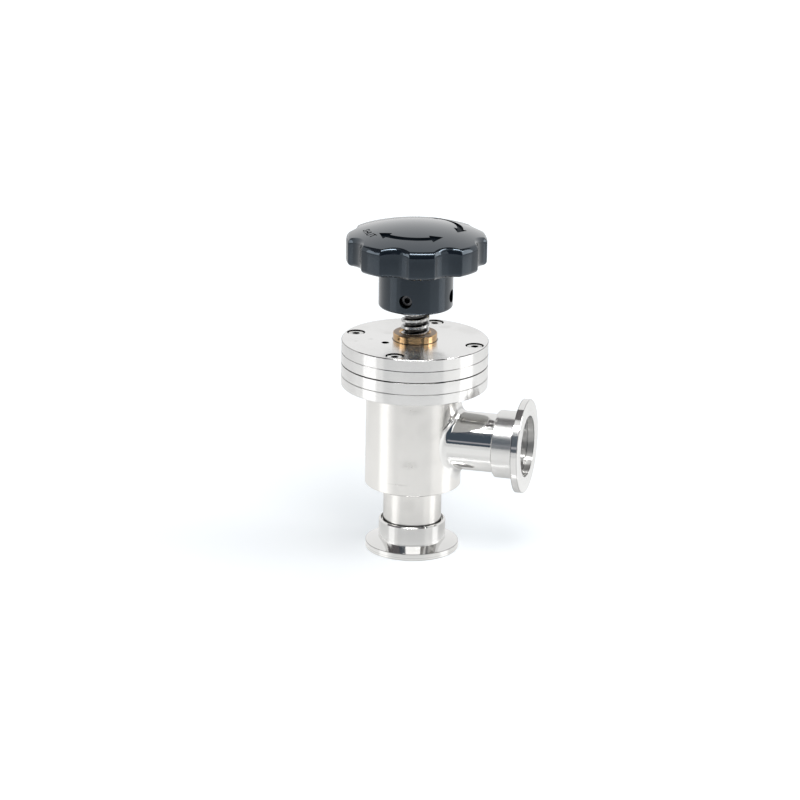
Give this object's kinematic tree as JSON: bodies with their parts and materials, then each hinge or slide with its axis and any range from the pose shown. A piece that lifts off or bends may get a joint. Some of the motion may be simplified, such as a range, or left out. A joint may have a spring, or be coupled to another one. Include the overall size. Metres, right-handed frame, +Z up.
{
  "type": "vacuum angle valve",
  "caption": "Right-angle vacuum valve with clamp-flange ports, a screw-down bellows-sealed poppet and a black lobed handwheel on a threaded stem.",
  "frame": {"origin": "centre of the inlet flange's face", "axes": "+Z up along the stem, +X out of the side port"},
  "size_m": [0.0812, 0.0624, 0.1436],
  "materials": {
    "satin_steel": "turned and satin polished stainless steel",
    "polished_steel": "mirror polished stainless steel",
    "screw_steel": "bright stainless screws",
    "bronze": "turned bronze",
    "seal_rubber": "black fluoroelastomer",
    "bellows_steel": "thin bright stainless sheet",
    "stem_steel": "cut thread, lightly greased",
    "spring_steel": "oiled spring steel",
    "bush_brass": "turned brass",
    "black_steel": "blackened steel",
    "black_moulding": "glossy black moulded plastic"
  },
  "bodies": {
    "valve": {"barrel": "satin_steel", "barrel_floor": "satin_steel", "body_flange": "satin_steel", "inlet_tube": "satin_steel", "side_tube": "polished_steel", "inlet_flange": "polished_steel", "outlet_flange": "polished_steel", "bonnet": "satin_steel", "bonnet_screws": "screw_steel", "stem_nut": "bronze", "bonnet_o_ring": "seal_rubber", "bellows_flange": "satin_steel", "bellows": "bellows_steel"},
    "poppet": {"bellows_collar": "satin_steel", "poppet": "satin_steel", "disc_o_ring": "seal_rubber", "carrier_cap": "satin_steel", "thrust_washer_upper": "bronze", "thrust_washer_lower": "bronze"},
    "handwheel": {"stem": "stem_steel", "circlip": "spring_steel", "hub_bush": "bush_brass", "grub_screws": "black_steel", "handwheel": "black_moulding"}
  },
  "joints": [
    {"name": "poppet_lift", "type": "slide", "parent": "valve", "child": "poppet", "axis": [0, 0, 1], "range_m": [-0.009, 0], "deforming": ["bellows"]},
    {"name": "handwheel_turn", "type": "hinge", "parent": "poppet", "child": "handwheel", "pos_m": [0, 0, 0.12], "axis": [0, 0, 1], "range_deg": [-1080, 0]}
  ],
  "couplings": [
    {"joint": "handwheel_turn", "follows": "poppet_lift", "rad_per_m": 2094.4}
  ]
}
